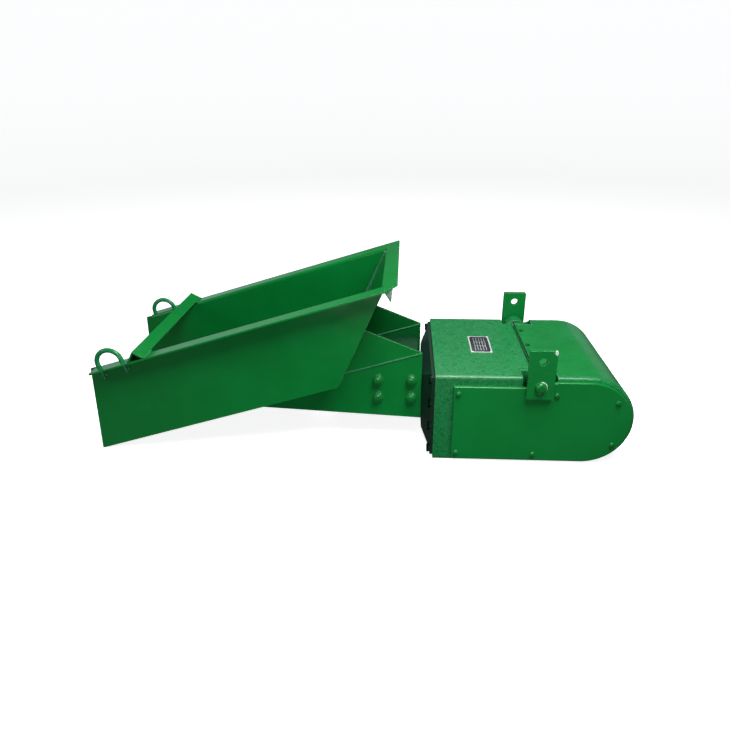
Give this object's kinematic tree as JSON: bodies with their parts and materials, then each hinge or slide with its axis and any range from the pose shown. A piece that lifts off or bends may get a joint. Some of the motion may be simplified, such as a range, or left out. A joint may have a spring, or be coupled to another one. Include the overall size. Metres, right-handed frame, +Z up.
{
  "type": "linear vibratory feeder",
  "caption": "Open sloping trough on a fork, joined by leaf springs inside a closed, round-ended drive housing; it hangs from rings at the front and lugs on the drive.",
  "frame": {"origin": "middle of the machine's box, on the floor that the drive and the discharge lip stand on", "axes": "+X along the drive axis, from the discharge lip to the round end of the drive; +Y to the far side; +Z up"},
  "size_m": [1.799, 0.632, 0.6119],
  "materials": {
    "green_paint": "gloss enamel on plate",
    "black_paint": "dull black paint on plate",
    "green_casting": "thick gloss enamel on a rough casting",
    "painted_bolts": "enamel, worn at the corners",
    "machined_steel": "machined, lightly oiled",
    "spring_steel": "ground spring steel",
    "core_laminations": "stacked sheet",
    "coil_enamel": "varnished winding",
    "black_rubber": "matt",
    "plate_metal": "satin, black field"
  },
  "bodies": {
    "drive": {"side_cover_near": "green_paint", "side_cover_far": "green_paint", "rear_cover": "green_paint", "hanging_lug_near": "green_paint", "hanging_lug_far": "green_paint", "front_seal_plate": "black_paint", "drive_housing": "green_casting", "side_cover_bolts": "painted_bolts", "rear_cover_screws": "painted_bolts", "lug_bolts": "painted_bolts", "front_plate_bolts": "painted_bolts", "spring_clamps": "machined_steel", "spring_end_bolts": "machined_steel", "core_carrier": "machined_steel", "gap_studs": "machined_steel", "gap_stud_nuts": "machined_steel", "end_spacers": "machined_steel", "leaf_springs": "spring_steel", "coil_core": "core_laminations", "coil_winding": "coil_enamel", "front_gasket": "black_rubber", "neck_seal": "black_rubber", "name_plate": "plate_metal", "name_plate_rivets": "plate_metal"},
    "trough": {"trough_floor": "green_paint", "side_wall_near": "green_paint", "side_wall_far": "green_paint", "rear_wall": "green_paint", "corner_gusset_near": "green_paint", "corner_gusset_far": "green_paint", "cross_brace": "green_paint", "hanging_ring_near": "green_paint", "hanging_ring_far": "green_paint", "fork_plate_near": "green_paint", "fork_plate_far": "green_paint", "fork_gusset_near": "green_paint", "fork_gusset_far": "green_paint", "front_cross_plate": "green_paint", "fork_bridge": "green_casting", "fork_bolts": "painted_bolts", "armature_carrier": "machined_steel", "armature": "core_laminations", "armature_bolts": "machined_steel", "middle_spacers": "machined_steel"}
  },
  "joints": [
    {"name": "drive_stroke", "type": "slide", "parent": "drive", "child": "trough", "axis": [1, 0, 0], "range_m": [-0.001, 0.001], "stiffness_N_per_m": 9000000, "deforming": ["leaf_springs"]}
  ]
}
